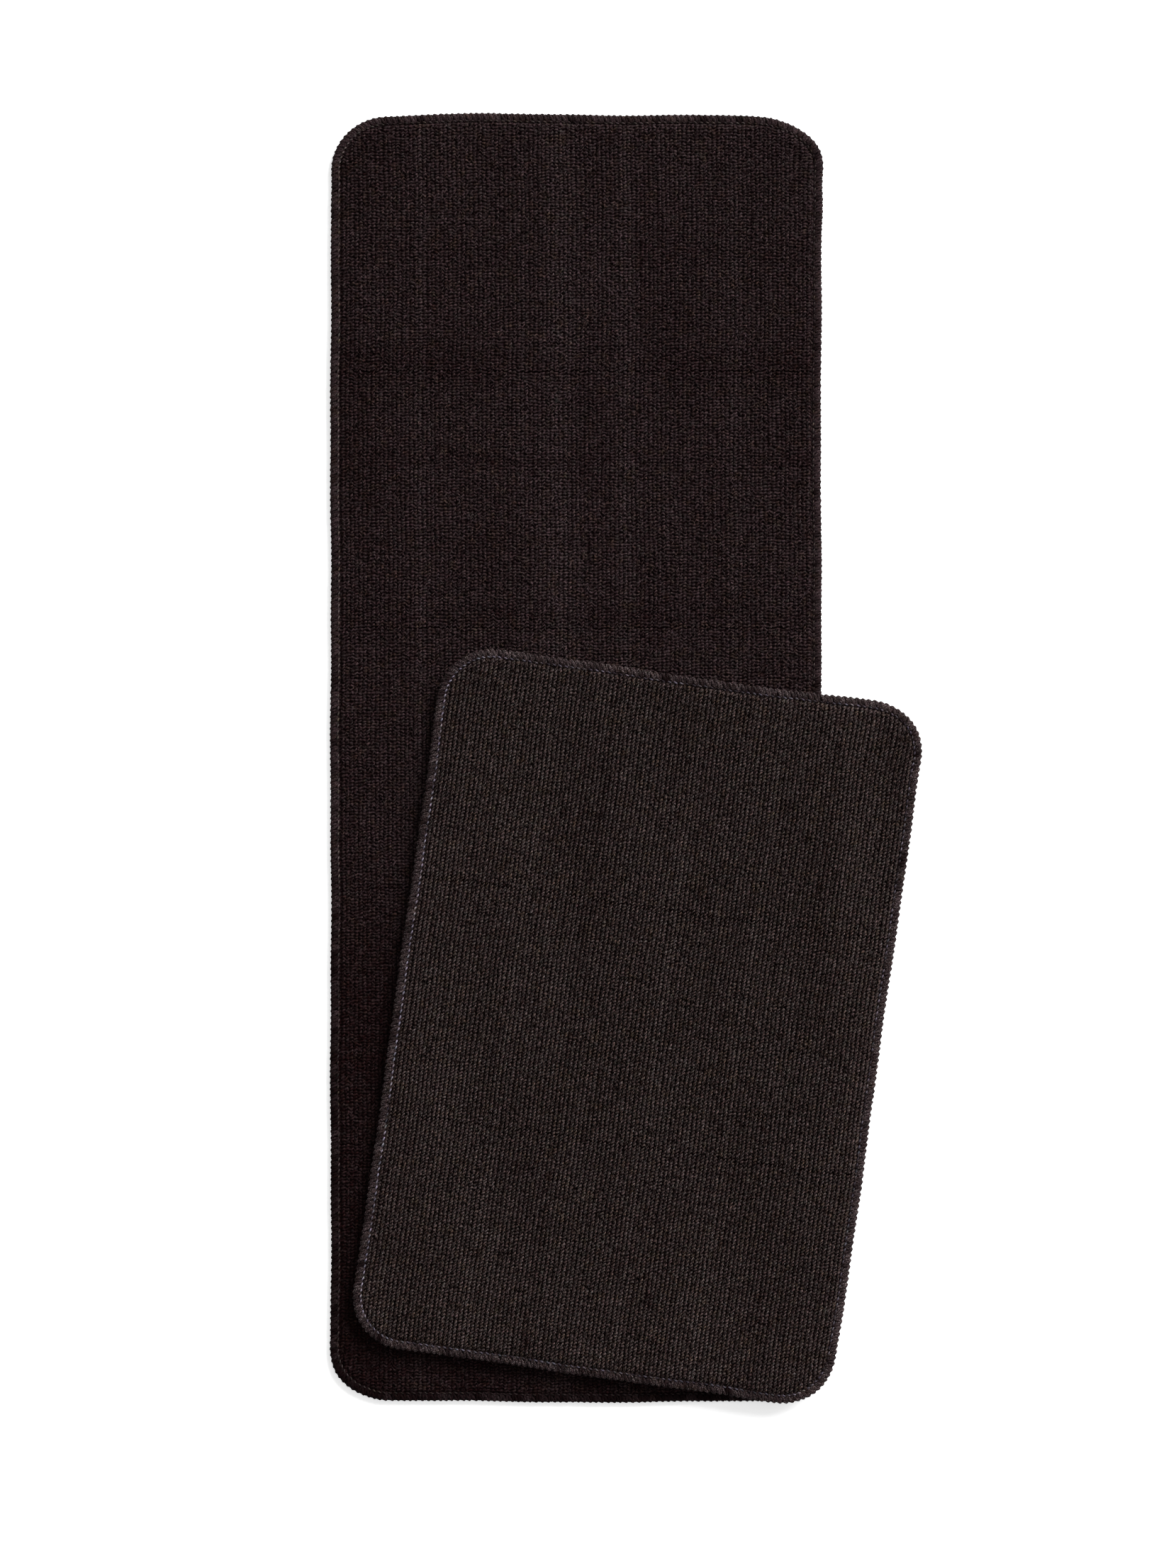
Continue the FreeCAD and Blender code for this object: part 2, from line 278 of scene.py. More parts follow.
def close_grid(mat, name, grid, base, coarse, turned_over=False):
    """A closed mesh between a grid of heights and a plain coarse base.

    The grid holds x, y, z arrays with one row per lattice column. The base repeats the grid's
    points at base height, but only each coarse[0]-th column's and each coarse[1]-th row's.
    Returns the mesh and the numbers of the grid points that the base repeats.
    """
    x, y, z = grid
    number = np.arange(x.size).reshape(x.shape)
    columns, rows = coarse_steps(x.shape[0], coarse[0]), coarse_steps(x.shape[1], coarse[1])
    picked = np.ix_(columns, rows)
    low = x.size + np.arange(len(columns) * len(rows)).reshape(len(columns), len(rows))
    points = np.vstack([
        lay(mat, x.ravel(), y.ravel(), z.ravel()),
        lay(mat, x[picked].ravel(), y[picked].ravel(), np.full(low.size, base))])
    upper = [number[:-1, :-1], number[1:, :-1], number[1:, 1:], number[:-1, 1:]]
    top = np.stack([part.ravel() for part in upper], axis=1)
    lower = [low[:-1, :-1], low[:-1, 1:], low[1:, 1:], low[1:, :-1]]
    bottom = np.stack([part.ravel() for part in lower], axis=1)
    outward = wall(number[:, 0], low[:, 0], columns) + wall(number[-1], low[-1], rows)
    inward = wall(number[:, -1], low[:, -1], columns) + wall(number[0], low[0], rows)
    flats = [bottom, *outward, *[face[:, ::-1] for face in inward]]
    if turned_over:
        top = top[:, ::-1]
        flats = [group[:, ::-1] for group in flats]
    mesh = make_mesh(name, points, [top], flats)
    add_plan_map(mesh, len(top))
    return mesh, number[picked].ravel()


def add_plan_map(mesh, seen):
    """A map for baking: the first faces in plan over most of the square, the rest in a thin strip.

    The hidden faces fill the strip's lower part only, so that the two never touch.
    """
    places = np.empty(len(mesh.vertices) * 3, np.float32)
    mesh.vertices.foreach_get("co", places)
    vertex = np.empty(len(mesh.loops), np.int32)
    mesh.loops.foreach_get("vertex_index", vertex)
    plan = places.reshape(-1, 3)[:, :2]
    plan = (plan - plan.min(axis=0)) / np.ptp(plan, axis=0)
    strip, filled = 0.06, 0.9
    corner = plan[vertex] * [1, 1 - strip] + [0, strip]
    hidden = np.arange(len(vertex)) >= 4 * seen
    corner[hidden, 1] = plan[vertex[hidden], 1] * strip * filled
    mesh.uv_layers.new(name="OFBake").data.foreach_set("uv", corner.astype(np.float32).ravel())


# %% [markdown]
# ## The loop pile
# The tufting machine has one needle per column and makes one loop per row, so the loops sit on a
# lattice. Each could be a bent tube, but a mat has tens of thousands, so each loop is a small dome
# of nine or twelve vertices in one grid: low in the gaps between columns and rows, high between.
# Three habits make the two mats differ. The slant shears each loop within its column: a little on
# the runner, whose loops look like grains of rice, and a lot on the small mat, whose columns look
# like twisted cords. Sway makes a column wander, and stagger slides its rows. The rest is chance:
# tumble varies the slant, uneven the height, and broken how shallow a gap between columns may be.

# %% How each pile is tufted
RUNNER_PILE = SimpleNamespace(
    gauge=3.97 * MM, pitch=2.95 * MM, across=(0, 0.28, 0.74), along=(0, 0.30, 0.72), slant=0.35,
    column_gap=1.8 * MM, row_gap=2.2 * MM, sway=0.34 * MM, stagger=0.8 * MM, uneven=0.26 * MM,
    jitter=0.28 * MM, tumble=0.75, broken=0.35, bands=5)
SMALL_PILE = SimpleNamespace(
    gauge=4.02 * MM, pitch=3.08 * MM, across=(0, 0.24, 0.50, 0.76), along=(0, 0.36, 0.66), slant=1.25,
    column_gap=2.6 * MM, row_gap=2.6 * MM, sway=0.20 * MM, stagger=0.5 * MM, uneven=0.22 * MM,
    jitter=0.28 * MM, tumble=0.48, broken=0.6, bands=3)
SWAY_ROWS, STAGGER_ROWS = 7, 5
SHOULDER = 0.3 * MM
HIGHEST_OVER_CREST = 0.35 * MM
CREST_BELOW_TOP = 0.4 * MM
PRESSED_RELIEF = 0.15
RISE_FROM_SEAM = 3 * MM


def drift(rng, columns, rows, reach):
    """Slow random drift down each column: knots every reach rows, eased from one to the next."""
    knots = rng.normal(size=(columns, rows // reach + 2))
    place = np.arange(rows) / reach
    low = place.astype(int)
    ease = smooth(place - low)
    return knots[:, low] * (1 - ease) + knots[:, low + 1] * ease


def pile_surface(mat, pile):
    """Grid of the pile: x, y, z, and for each vertex its loop's tone and how near the crest it is.

    Lattice place is column number plus a share across it, and row number plus a share along it.
    The height is the crest less the gap depths, combined as the root of the sum of their squares,
    with a low shoulder at each loop's sides. The crest sinks to the pressed height, and most of
    the relief goes, where the edge stitching holds the pile down. Each loop also stands a little
    off its column, by half the unevenness of the third loop before it.
    """
    rng = np.random.default_rng(mat.seed)
    columns = int(np.ceil(mat.width / pile.gauge))
    rows = int(np.ceil(mat.length / pile.pitch))
    share_x = np.concatenate([np.tile(pile.across, columns), [0]])[:, None]
    share_y = np.concatenate([np.tile(pile.along, rows), [0]])[None, :]
    column = np.minimum(np.arange(len(share_x)) // len(pile.across), columns - 1)[:, None]
    row = np.minimum(np.arange(share_y.size) // len(pile.along), rows - 1)[None, :]
    end_x = (np.arange(len(share_x)) == len(share_x) - 1)[:, None]
    end_y = (np.arange(share_y.size) == share_y.size - 1)[None, :]
    sway = drift(rng, columns, rows, SWAY_ROWS) * pile.sway
    stagger = drift(rng, columns, rows, STAGGER_ROWS) * pile.stagger
    uneven, nudge, lean, tone = rng.normal(size=(4, columns, rows))
    uneven, nudge = uneven * pile.uneven, nudge * pile.uneven
    lean = pile.slant + pile.tumble * np.clip(lean, -2, 2)
    sideways = sway + np.roll(uneven, 3, axis=1) * 0.5
    x = (column + end_x + share_x - columns / 2) * pile.gauge + sideways[column, row]
    in_loop = share_x > 0
    y = (row + end_y + share_y - rows / 2) * pile.pitch + stagger[column, row] * in_loop
    y = y + (lean[column, row] * (share_x - 0.5) * pile.gauge + nudge[column, row]) * in_loop
    shift = rng.normal(size=(3, *x.shape)).clip(-2, 2) * pile.jitter
    x, y = x + shift[0], y + shift[1]
    x, y = pull_inside(mat, x, y, RAW_EDGE)
    gap_x = (share_x == 0) * pile.column_gap * rng.uniform(pile.broken, 1, size=x.shape)
    gap_y = (share_y == 0) * pile.row_gap * rng.uniform(0.5, 1, size=x.shape)
    side = SHOULDER * (np.abs(share_x - 0.5) > 0.2) * (share_x > 0)
    relief = np.hypot(gap_x, gap_y) + side + shift[2]
    relief = relief - uneven[column, row] * (share_x > 0) * (share_y > 0)
    free = smooth(inside_by(mat, x, y, NEEDLE_LINE) / RISE_FROM_SEAM)
    crest = PRESSED_TOP + (PILE_TOP - CREST_BELOW_TOP - PRESSED_TOP) * free
    kept = PRESSED_RELIEF + (1 - PRESSED_RELIEF) * free
    z = crest - np.maximum(relief, -HIGHEST_OVER_CREST) * kept
    near_crest = 1 - np.hypot(gap_x, gap_y) / np.hypot(pile.column_gap, pile.row_gap)
    return SimpleNamespace(x=x, y=y, z=z, rows=rows, tone=tone[column, row] + 0 * x,
                           crest=near_crest + 0 * x)


for pile in (RUNNER_PILE, SMALL_PILE):
    print("loops", round(pile.gauge / MM, 2), "mm apart across and", round(pile.pitch / MM, 2), "along")


# %% [markdown]
# The pile's colour isn't even either. The runner has a few lighter lines of yarn ends running its
# whole length, and some darker bands across, which are painted shade, as of low folds that slope
# away from the lamp. Its near half and its left side are darkened too, by painted shade that stands
# in for the wide soft shadow that the small mat casts beside and below it. They are numbers on each
# vertex, worked out from where it is, so that the material needs no picture.

# %% Streaks and bands of tone
# Each row: where its middle is and its half width, both in millimetres, and how much lighter.
RUNNER_STREAKS = ((-15, 16, 0.9), (46, 8, 0.8), (-145, 4, 0.8), (-50, 4, 0.5), (148, 6, 0.6))
# The bands across the runner are painted shade, where low folds would slope away from the lamp.
RUNNER_SHADE_BANDS = ((365, 20, -0.7), (277, 8, -0.6), (131, 10, -0.6), (470, 10, -0.3), (200, 6, -0.3))
SMALL_STREAKS = ((-120, 3, 0.5), (-62, 3, -0.5), (20, 4, 0.5), (95, 3, 0.5), (150, 3, -0.4))
MIDDLE_TONE, LOOP_TONE, WIDE_TONE, CLOUD_TONE = 0.45, 0.09, 0.24, 0.03
# Painted shade on the runner: where its near half and its left side begin to darken, how gradually, and
# how deeply.
NEAR_FROM, NEAR_EASE, NEAR_SHADE_DEPTH = -20 * MM, 300 * MM, 1.1
LEFT_FROM, LEFT_EASE, LEFT_SHADE_DEPTH = -140 * MM, 80 * MM, 0.4


def bumps(place, listed):
    """Sum of bell curves, one for each row of the list."""
    return sum(gain * np.exp(-((place / MM - centre) / wide) ** 2) for centre, wide, gain in listed)


def painted_near_shade(mat, y):
    """How much painted shade darkens the runner's near half at y, easing in from near its middle."""
    return smooth((NEAR_FROM - y) / NEAR_EASE) * (mat is RUNNER)


def tone_of(mat, surface):
    """Each vertex's tone: its loop's own, the mat's streaks and clouds, and on the runner painted shade
    in bands across, on its near half and on its left side.
    """
    x, y = surface.x, surface.y
    clouds = np.sin(x / 0.031 + mat.seed) * np.sin(y / 0.043 + 1) + np.sin(x / 0.017 + y / 0.067)
    if mat is RUNNER:
        fading = 0.65 + 0.35 * np.sin(x / 0.053 + y / 0.09)
        wide = bumps(x, RUNNER_STREAKS) + fading * bumps(y, RUNNER_SHADE_BANDS)
        # Painted shade: the runner's left side and near half darken, for the small mat's wide shadow.
        painted_left_shade = smooth((LEFT_FROM - x) / LEFT_EASE)
        wide = wide - LEFT_SHADE_DEPTH * painted_left_shade - NEAR_SHADE_DEPTH * painted_near_shade(mat, y)
    else:
        wide = bumps(x, SMALL_STREAKS)
    return MIDDLE_TONE + LOOP_TONE * surface.tone + WIDE_TONE * wide + CLOUD_TONE * clouds


print("streaks and bands on the runner:", len(RUNNER_STREAKS), "and", len(RUNNER_SHADE_BANDS))


# %% [markdown]
# ## Materials
# Nearly everything here is matt yarn, so one recipe covers it: a dark and a light colour mixed
# by tone, drifts of warmer and greener yarn, and a fine bump for fibres. The pattern reads
# object coordinates, which are real metres, so its scale is the real one. Yarn this dark looks
# right only if its shine is low, because the bright room would veil it, so the specular level is
# turned down on the shader itself.

# %% Small tools for building a finish
YARN_SHEEN, RUBBER_SHEEN, PLAIN_SHEEN = 0.03, 0.12, 0.5


def new_finish(name, roughness, sheen):
    """A new material with its node tree and its shader, already set to a roughness and sheen."""
    material = bpy.data.materials.new(name)
    material.use_nodes = True
    tree = material.node_tree
    shader = tree.nodes["Principled BSDF"]
    shader.inputs["Roughness"].default_value = roughness
    shader.inputs["Specular IOR Level"].default_value = sheen
    return material, tree, shader


def add_node(tree, kind, **values):
    """Add a node and set its properties and inputs by name."""
    node = tree.nodes.new(kind)
    for name, value in values.items():
        if name in node.inputs:
            node.inputs[name].default_value = value
        else:
            setattr(node, name, value)
    return node


def noise_of(tree, scale, detail):
    """Noise in object coordinates, with scale swells to the metre."""
    places = add_node(tree, "ShaderNodeTexCoord")
    noise = add_node(tree, "ShaderNodeTexNoise", Scale=scale, Detail=detail)
    tree.links.new(places.outputs["Object"], noise.inputs["Vector"])
    return noise.outputs["Fac"]


def spread(tree, value, low, high, least=0.0, most=1.0):
    """Map a value's range onto another, held at its ends."""
    ranged = add_node(tree, "ShaderNodeMapRange")
    for name, number in zip(("From Min", "From Max", "To Min", "To Max"), (low, high, least, most)):
        ranged.inputs[name].default_value = number
    tree.links.new(value, ranged.inputs["Value"])
    return ranged.outputs["Result"]


def mix_colours(tree, share, first, second):
    """Mix two colours, each a socket or a plain colour, by a share that is a socket."""
    mix = add_node(tree, "ShaderNodeMix", data_type="RGBA")
    tree.links.new(share, mix.inputs["Factor"])
    for socket, colour in zip(mix.inputs[6:8], (first, second)):
        if isinstance(colour, tuple):
            socket.default_value = (*colour, 1)
        else:
            tree.links.new(colour, socket)
    return mix.outputs[2]


def multiply(tree, first, second):
    """Multiply two colours channel by channel."""
    product = add_node(tree, "ShaderNodeVectorMath", operation="MULTIPLY")
    tree.links.new(first, product.inputs[0])
    tree.links.new(second, product.inputs[1])
    return product.outputs[0]


def add_bump(tree, shader, height, strength, distance):
    """Let a height socket raise the surface, to scale, by up to a distance."""
    bump = add_node(tree, "ShaderNodeBump", Strength=strength, Distance=distance)
    tree.links.new(height, bump.inputs["Height"])
    tree.links.new(bump.outputs["Normal"], shader.inputs["Normal"])


# %% [markdown]
# The yarn itself is one function for all three threads and both piles. The pile's gaps are painted
# nearly black, as painted shade, and some fibres are painted paler, as painted glints.

# %% Yarn finishes
def ply_noise(tree, size, angle, longer):
    """Noise drawn out along one direction: the strands that a yarn is twisted from."""
    places = add_node(tree, "ShaderNodeTexCoord")
    mapping = add_node(tree, "ShaderNodeMapping", vector_type="TEXTURE", Scale=(longer, 1, 1))
    mapping.inputs["Rotation"].default_value = (0, 0, math.radians(angle))
    noise = add_node(tree, "ShaderNodeTexNoise", Scale=1 / size, Detail=1.0)
    tree.links.new(places.outputs["Object"], mapping.inputs["Vector"])
    tree.links.new(mapping.outputs["Vector"], noise.inputs["Vector"])
    return noise


def yarn_material(name, dark, light, angle=0, longer=1, twist=1.5, strength=1.0, fleck=0.5,
                  gap_shade=None, glint_colour=None, warm=(1.05, 1.0, 0.78), green=(0.84, 1.0, 0.92)):
    """Matt yarn: dark to light by the tone attribute, in drifts of tint, twisted from strands.

    The strand noise multiplies the colour, a little differently in red, green and blue, and also
    makes the bump. With a gap colour the colour changes to that one where the crest attribute is
    low: painted shade for the depth between real loops, which goes down to the backing, further
    than the modelled gap. With a glint colour, the peaks of fine noise take that paler colour: paler
    fibres, painted brighter as glints where they catch the light.
    """
    material, tree, shader = new_finish(name, 0.6, YARN_SHEEN)
    tone = add_node(tree, "ShaderNodeAttribute", attribute_name="tone").outputs["Fac"]
    colour = mix_colours(tree, spread(tree, tone, 0, 1), dark, light)
    for place, tint in ((110, warm), (140, green)):
        drifts = spread(tree, noise_of(tree, place, 4), 0.52, 0.70)
        colour = multiply(tree, colour, mix_colours(tree, drifts, (1.0, 1.0, 1.0), tint))
    strands = ply_noise(tree, twist * MM, angle, longer)
    flecks = add_node(tree, "ShaderNodeVectorMath", operation="MULTIPLY_ADD")
    tree.links.new(strands.outputs["Color"], flecks.inputs[0])
    flecks.inputs[1].default_value = (fleck,) * 3
    flecks.inputs[2].default_value = (1 - fleck / 2,) * 3
    depth = add_node(tree, "ShaderNodeVectorMath", operation="SCALE")
    tree.links.new(flecks.outputs[0], depth.inputs[0])
    swing = 0.8 * strength
    contrast = spread(tree, strands.outputs["Fac"], 0.3, 0.7, 1 - swing, 1 + swing)
    tree.links.new(contrast, depth.inputs["Scale"])
    colour = multiply(tree, colour, depth.outputs[0])
    # Painted glints: pale flecks where fine noise peaks, more of them on the lighter loops.
    if glint_colour is not None:
        glint_share = add_node(tree, "ShaderNodeMath", operation="MULTIPLY")
        tree.links.new(spread(tree, noise_of(tree, 1 / (0.8 * MM), 1), 0.57, 0.67), glint_share.inputs[0])
        tree.links.new(spread(tree, tone, 0, 0.7), glint_share.inputs[1])
        colour = mix_colours(tree, glint_share.outputs[0], colour, glint_colour)
    # Painted shade: where the crest attribute is low, between the loops, the colour turns to the dark
    # gap colour.
    if gap_shade is not None:
        crest = add_node(tree, "ShaderNodeAttribute", attribute_name="crest").outputs["Fac"]
        colour = mix_colours(tree, spread(tree, crest, 0.45, 1.0), gap_shade, colour)
    tree.links.new(colour, shader.inputs["Base Color"])
    add_bump(tree, shader, strands.outputs["Fac"], 0.6, 0.5 * MM)
    return material


runner_pile_finish = yarn_material(
    "runner pile yarn", (0.0086, 0.0026, 0.0028), (0.041, 0.0285, 0.0300), angle=20, longer=1.6,
    twist=1.3, gap_shade=(0.0036, 0.0006, 0.0008))
small_pile_finish = yarn_material(
    "small mat pile yarn", (0.0090, 0.0028, 0.0024), (0.066, 0.0475, 0.0450), angle=43, longer=1.9,
    twist=1.05, strength=1.25, fleck=0.6, gap_shade=(0.0032, 0.0006, 0.0005),
    glint_colour=(0.105, 0.098, 0.098))
runner_edge_finish = yarn_material(
    "runner edge yarn", (0.0045, 0.0016, 0.0018), (0.023, 0.0135, 0.0148), twist=1.1, strength=0.8,
    fleck=0.25, glint_colour=(0.062, 0.044, 0.046))
small_edge_finish = yarn_material(
    "small mat edge yarn", (0.005, 0.0020, 0.0022), (0.022, 0.0142, 0.0152), twist=1.0, strength=1.1,
    fleck=0.4, glint_colour=(0.130, 0.102, 0.102))
runner_thread_finish = yarn_material(
    "runner needle thread", (0.010, 0.006, 0.006), (0.080, 0.060, 0.058), strength=0.4)
small_thread_finish = yarn_material(
    "small mat needle thread", (0.012, 0.008, 0.010), (0.170, 0.145, 0.185), strength=0.4)
print("yarn finishes:", len(bpy.data.materials))

# %% [markdown]
# ## Making the piles
# A single piece shouldn't grow too heavy to handle, so each pile is cut at gaps between rows into
# a few bands that stand back to back. The shading of a band stops at the cut, and would leave a
# pale line there, so the cut itself takes the darkest painted gap shade.

# %% Make both piles
BASE_STEPS = (12, 24)


def make_pile(mat, pile, finish):
    """Cut the pile grid into bands at row gaps, close each band, and add the pieces."""
    surface = pile_surface(mat, pile)
    tone = tone_of(mat, surface)
    step = len(pile.along)
    cuts = np.linspace(0, surface.rows, pile.bands + 1).round().astype(int) * step
    made = []
    for place, (start, stop) in enumerate(zip(cuts[:-1], cuts[1:]), start=1):
        part = np.s_[:, start:stop + 1]
        grid = (surface.x[part], surface.y[part], surface.z[part])
        mesh, repeated = close_grid(mat, f"{mat.name}_pile_{place}", grid, SCRIM_TOP, BASE_STEPS)
        crest = surface.crest[part].copy()
        # Painted shade: the rows at each cut take the darkest gap colour.
        crest[:, [0, -1]] = 0
        for name, values in (("tone", tone[part].ravel()), ("crest", crest.ravel())):
            add_values(mesh, name, np.concatenate([values, values[repeated]]))
        made.append(add_piece(mat, f"loops_{place}", mesh, finish, "loop_pile"))
    return made


runner_pile = make_pile(RUNNER, RUNNER_PILE, runner_pile_finish)
small_pile = make_pile(SMALL_MAT, SMALL_PILE, small_pile_finish)

# %% [markdown]
# ## The overlocked edge
# Three threads bind the edge. The upper looper yarn runs from the needle line over the top to the
# rim and back, once per stitch; the lower looper yarn does the same underneath, and the two lock
# at the rim. The needle thread shows as one short dash per stitch. Each is one closed tube that
# follows a path along the outline.

# %% Carry a flattened section along a path
def tube(mat, name, path, facing, half_wide, half_thick, sides, tone):
    """A closed ring-shaped tube with an oval section, laid with its mat.

    The direction is the difference of the neighbours. The facing vector, made square to it, gives
    the thin way of the oval, and their cross product the wide way.
    """
    along = np.roll(path, -1, axis=0) - np.roll(path, 1, axis=0)
    along /= np.linalg.norm(along, axis=1, keepdims=True)
    facing = facing - along * (facing * along).sum(axis=1, keepdims=True)
    facing /= np.linalg.norm(facing, axis=1, keepdims=True)
    aside = np.cross(along, facing)
    turn = np.arange(sides) * 2 * np.pi / sides
    wide = half_wide[:, None, None] * np.cos(turn)[None, :, None] * aside[:, None]
    thick = half_thick[:, None, None] * np.sin(turn)[None, :, None] * facing[:, None]
    skin = path[:, None] + wide + thick
    number = np.arange(len(path) * sides).reshape(len(path), sides)
    onward, round_it = np.roll(number, -1, axis=0), np.roll(number, -1, axis=1)
    both = np.roll(onward, -1, axis=1)
    faces = np.stack([number.ravel(), onward.ravel(), both.ravel(), round_it.ravel()], axis=1)
    x, y, z = skin.reshape(-1, 3).T
    mesh = make_mesh(name, lay(mat, x, y, z), [faces])
    add_values(mesh, "tone", np.repeat(tone, sides))
    return mesh


# %% [markdown]
# A looper yarn's distance from the rim swings in and out as a cosine, so its turns are round, and
# a lean makes one leg of each stitch diagonal and the next one nearly straight.

# %% Paths round the edge
STITCH = {"runner": 5.6 * MM, "small_mat": 5.7 * MM}
LEAN = 0.45


def stitched(mat, steps):
    """Times along the seam, which rise by one a stitch, with a whole number of stitches round it.

    Returns the times, steps of them to each stitch, the length of a stitch and their count.
    """
    count = int(round(perimeter(mat) / STITCH[mat.name]))
    return np.arange(count * steps) / steps, perimeter(mat) / count, count


def edge_path(mat, time, stitch, swing, depth, height, tilt):
    """Path of a looper yarn. swing runs from 0 at the needle line to 1 at the rim.

    depth, height and tilt say how far in, how high and how far over it is at five even steps of
    the swing, in millimetres and degrees; between them they are straight lines.
    """
    steps = np.linspace(0, 1, len(depth))
    place, outward = walk_outline(mat, (time + LEAN * swing) * stitch)
    inward = np.interp(swing, steps, depth) * MM
    high = np.interp(swing, steps, height) * MM
    over = np.radians(np.interp(swing, steps, tilt))
    path = np.column_stack([place - outward * inward[:, None], high])
    facing = np.column_stack([outward * np.sin(over)[:, None], np.cos(over)])
    return path, facing


for mat in (RUNNER, SMALL_MAT):
    print(mat.name, "has", stitched(mat, 1)[2], "stitches round its edge")

# %% [markdown]
# No two stitches are quite alike. Each has its own bulk, tone and place, eased into the next.

# %% Upper looper yarn, lower looper yarn and needle thread
EDGE_FINISH = {"runner": runner_edge_finish, "small_mat": small_edge_finish}
THREAD_FINISH = {"runner": runner_thread_finish, "small_mat": small_thread_finish}


def per_stitch(rng, count, steps, size):
    """Random numbers, one per stitch, eased from each stitch to the next."""
    knots = rng.normal(size=count) * size
    ease = smooth(np.arange(steps) / steps)
    return (knots[:, None] * (1 - ease) + np.roll(knots, -1)[:, None] * ease).ravel()


def upper_looper(mat):
    """The bulky yarn over the top: in at the needle line, out and down round the rim."""
    steps = 12
    time, stitch, count = stitched(mat, steps)
    rng = np.random.default_rng(mat.seed + 1)
    swing = 0.5 - 0.5 * np.cos(2 * np.pi * time)
    time = time + per_stitch(rng, count, steps, 0.07)
    pressed = PRESSED_TOP / MM
    path, facing = edge_path(
        mat, time, stitch, swing, depth=(7.4, 5.6, 3.4, 1.4, 0.25),
        height=(pressed + 0.35, pressed + 0.62, pressed + 0.62, pressed + 0.25, 3.2),
        tilt=(0, 0, 5, 40, 90))
    path[:, 2] += 0.12 * MM * np.sin(2 * np.pi * time)
    bulk = 1 + per_stitch(rng, count, steps, 0.12)
    half_wide = (1.15 + 0.4 * np.sin(np.pi * swing ** 0.7)) * MM * bulk
    half_thick = (0.42 + 0.18 * swing) * MM * bulk
    tone = 0.5 + per_stitch(rng, count, steps, 0.2) + 0.12 * (swing - 0.5)
    # Painted shade on the runner's near half, as on its pile.
    tone = tone - 0.4 * painted_near_shade(mat, path[:, 1])
    mesh = tube(mat, f"{mat.name}_upper_yarn", path, facing, half_wide, half_thick, 6, tone)
    return add_piece(mat, "top_yarn", mesh, EDGE_FINISH[mat.name], "upper_looper_yarn")


def lower_looper(mat):
    """The flatter yarn underneath, which comes up to meet the upper one at the rim."""
    steps = 8
    time, stitch, count = stitched(mat, steps)
    rng = np.random.default_rng(mat.seed + 2)
    swing = 0.5 - 0.5 * np.cos(2 * np.pi * (time + mat.under_phase))
    path, facing = edge_path(
        mat, time, stitch, swing, depth=(7.5, 5.6, 3.4, 1.4, 0.45),
        height=(0.38, 0.36, 0.36, 0.5, 1.25), tilt=(180, 180, 175, 140, 90))
    bulk = 1 + per_stitch(rng, count, steps, 0.05)
    tone = 0.4 + per_stitch(rng, count, steps, 0.15)
    mesh = tube(mat, f"{mat.name}_lower_yarn", path, facing, 1.1 * MM * bulk,
                (0.30 + 0.16 * swing) * MM, 5, tone)
    return add_piece(mat, "under_yarn", mesh, EDGE_FINISH[mat.name], "lower_looper_yarn")


def needle_thread(mat):
    """The needle line: a dash on top for each stitch, dipping into the mat between dashes.

    The dashes are palest on the left side, where the stitches lie loosest, and are painted dark at the
    dips, as shade where the thread goes down into the mat.
    """
    steps = 8
    time, stitch, count = stitched(mat, steps)
    rng = np.random.default_rng(mat.seed + 3)
    arch = np.abs(np.sin(np.pi * time))
    place, outward = walk_outline(mat, time * stitch)
    inward = NEEDLE_LINE - 0.5 * MM + 0.4 * MM * np.sin(2 * np.pi * time)
    inward = inward + per_stitch(rng, count, steps, 0.15 * MM)
    high = PRESSED_TOP - 1.1 * MM + 2.3 * MM * arch + per_stitch(rng, count, steps, 0.2 * MM)
    path = np.column_stack([place - outward * inward[:, None], high])
    facing = np.column_stack([0 * outward, np.ones(len(path))])
    left = np.clip(-outward[:, 0], 0, 1)
    # Painted shade: each dash fades to dark where the thread dips into the mat.
    tone = (0.22 + 0.55 * left + per_stitch(rng, count, steps, 0.2) * (1 + left)) * arch
    # Painted shade on the runner's near half, as on its pile.
    tone = tone * (1 - 0.6 * painted_near_shade(mat, path[:, 1]))
    mesh = tube(mat, f"{mat.name}_thread", path, facing, (0.35 + 0.38 * arch) * MM,
                (0.30 + 0.22 * arch) * MM, 6, tone)
    return add_piece(mat, "needle_dashes", mesh, THREAD_FINISH[mat.name], "needle_thread")


edges = {mat.name: [upper_looper(mat), lower_looper(mat), needle_thread(mat)]
         for mat in (RUNNER, SMALL_MAT)}

# %% [markdown]
# ## The layers underneath
# The rubber's underside carries a fine grid of nubs that grip the floor, with a step up at the
# border where the lower looper yarn runs. The latex coat and the woven backing are plain thin
# layers, hidden when the mat is whole, and the woven backing is the actual cloth of the mat.

# %% Rubber, latex and weave finishes
def plain_material(name, dark, light, roughness, grain, bump_depth):
    """Rubber or latex: two close colours mixed by a fine noise that also roughens the surface."""
    material, tree, shader = new_finish(name, roughness, RUBBER_SHEEN)
    noise = noise_of(tree, grain, 4)
    colour = mix_colours(tree, spread(tree, noise, 0.3, 0.7), dark, light)
    tree.links.new(colour, shader.inputs["Base Color"])
    worn = spread(tree, noise, 0.3, 0.7, roughness - 0.1, roughness + 0.1)
    tree.links.new(worn, shader.inputs["Roughness"])
    add_bump(tree, shader, noise, 0.4, bump_depth)
    return material


